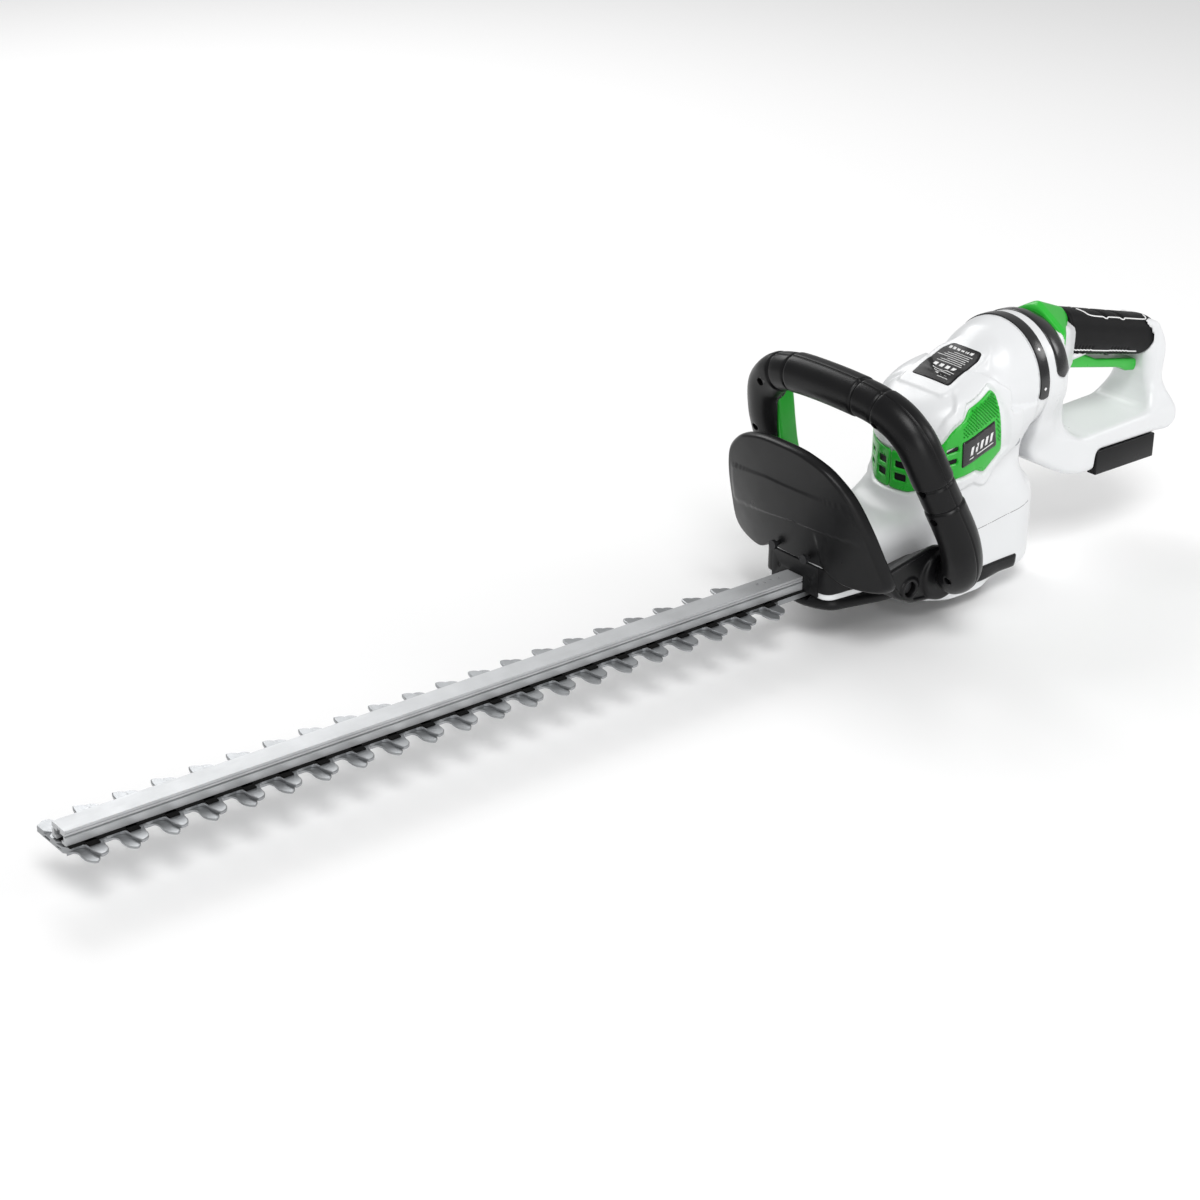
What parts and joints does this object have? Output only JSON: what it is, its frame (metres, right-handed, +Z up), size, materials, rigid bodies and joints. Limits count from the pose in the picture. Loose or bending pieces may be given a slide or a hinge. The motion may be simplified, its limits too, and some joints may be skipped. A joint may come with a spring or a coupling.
{
  "type": "hedge trimmer",
  "caption": "Cordless hedge trimmer with a long double-sided reciprocating blade, hand guard, loop front handle and a swivelling rear D-handle.",
  "frame": {"origin": "on the motor's axis, at the flat underside of the housing", "axes": "-X along the blade towards its tip, +Z up, -Y the tool's left side"},
  "size_m": [0.8649, 0.191, 0.173],
  "materials": {
    "bar_alloy": "satin",
    "blade_steel": "satin",
    "wear_strip": "matte",
    "fixing_steel": "satin",
    "bearing_bronze": "satin",
    "gear_steel": "satin",
    "case_casting": "cast",
    "white_shell": "satin",
    "green_plastic": "satin",
    "black_plastic": "satin",
    "black_screw": "satin",
    "grip_rubber": "matte",
    "badge_black": "gloss",
    "motor_metal": "satin",
    "inner_plastic": "matte",
    "board": "satin",
    "spring_steel": "satin",
    "contact_brass": "satin"
  },
  "bodies": {
    "body": {"support_bar": "bar_alloy", "guide_strip": "wear_strip", "blade_bolts": "fixing_steel", "blade_nuts": "fixing_steel", "cover_screws": "fixing_steel", "motor_screws": "fixing_steel", "housing_screws": "fixing_steel", "handle_screws": "fixing_steel", "blade_bushes": "bearing_bronze", "crank_bushes": "bearing_bronze", "gear_case": "case_casting", "housing_left": "white_shell", "housing_right": "white_shell", "side_panel_left": "green_plastic", "side_panel_right": "green_plastic", "mount_block": "black_plastic", "bottom_cover": "black_plastic", "guard": "black_plastic", "handle_front": "black_plastic", "handle_rear": "black_plastic", "bracket_left": "black_plastic", "bracket_right": "black_plastic", "base_strip_left": "black_plastic", "base_strip_right": "black_plastic", "index_ring": "black_plastic", "guard_screws": "black_screw", "bracket_screws": "black_screw", "side_badge_left": "badge_black", "side_badge_right": "badge_black", "rating_label": "badge_black", "motor_can": "motor_metal", "safety_switch": "inner_plastic", "control_board": "board"},
    "upper_cutter": {"upper_blade": "blade_steel"},
    "lower_cutter": {"lower_blade": "blade_steel"},
    "crankshaft": {"crank": "gear_steel", "drive_gear": "gear_steel"},
    "upper_link": {"upper_rod": "gear_steel"},
    "lower_link": {"lower_rod": "gear_steel"},
    "rotor": {"motor_shaft": "gear_steel", "pinion": "gear_steel", "cooling_fan": "inner_plastic"},
    "front_lever": {"safety_lever": "green_plastic"},
    "rear_handle": {"swivel_hub": "black_plastic", "rear_handle_left": "white_shell", "rear_handle_right": "white_shell", "rear_handle_screws": "fixing_steel", "rubber_grip": "grip_rubber", "ring_band": "black_plastic", "battery_foot": "black_plastic", "battery_contacts": "contact_brass", "trigger_switch": "inner_plastic", "trigger_spring": "spring_steel", "lock_spring": "spring_steel"},
    "lock": {"lock_button": "green_plastic"},
    "trigger_arm": {"trigger": "green_plastic"}
  },
  "joints": [
    {"name": "upper_blade_stroke", "type": "slide", "parent": "body", "child": "upper_cutter", "axis": [1, 0, 0], "range_m": [-0.006, 0.006]},
    {"name": "lower_blade_stroke", "type": "slide", "parent": "body", "child": "lower_cutter", "axis": [1, 0, 0], "range_m": [-0.006, 0.006]},
    {"name": "crank_spin", "type": "hinge", "parent": "body", "child": "crankshaft", "pos_m": [-0.036, 0, 0.03], "axis": [0, 0, 1], "continuous": true},
    {"name": "motor_spin", "type": "hinge", "parent": "body", "child": "rotor", "pos_m": [0, 0, 0.06], "axis": [0, 0, 1], "continuous": true},
    {"name": "upper_rod_turn", "type": "hinge", "parent": "crankshaft", "child": "upper_link", "pos_m": [-0.036, 0.006, 0.025], "axis": [0, 0, 1], "continuous": true},
    {"name": "lower_rod_turn", "type": "hinge", "parent": "crankshaft", "child": "lower_link", "pos_m": [-0.036, -0.006, 0.0175], "axis": [0, 0, 1], "continuous": true},
    {"name": "safety_lever_press", "type": "hinge", "parent": "body", "child": "front_lever", "pos_m": [-0.053, 0.0675, 0.063], "axis": [0.9354, 0, 0.3535], "range_deg": [-4, 0], "stiffness_Nm_per_rad": 0.6, "springref_deg": 5.73},
    {"name": "rear_handle_swivel", "type": "hinge", "parent": "body", "child": "rear_handle", "pos_m": [0.066, 0, 0.13], "axis": [1, 0, 0], "range_deg": [-90, 90]},
    {"name": "lock_button_press", "type": "slide", "parent": "rear_handle", "child": "lock", "axis": [0, 0, 1], "range_m": [-0.003, 0], "stiffness_N_per_m": 600, "springref_m": 0.003, "deforming": ["lock_spring"]},
    {"name": "trigger_pull", "type": "hinge", "parent": "rear_handle", "child": "trigger_arm", "pos_m": [0.1155, 0, 0.134], "axis": [0, 1, 0], "range_deg": [-3.5, 0], "stiffness_Nm_per_rad": 0.6, "springref_deg": 5.73, "deforming": ["trigger_spring"]}
  ],
  "couplings": [
    {"joint": "lower_blade_stroke", "follows": "upper_blade_stroke", "ratio": -1},
    {"joint": "motor_spin", "follows": "crank_spin", "ratio": -5},
    {"joint": "upper_rod_turn", "follows": "crank_spin", "ratio": -1},
    {"joint": "lower_rod_turn", "follows": "crank_spin", "ratio": -1}
  ]
}
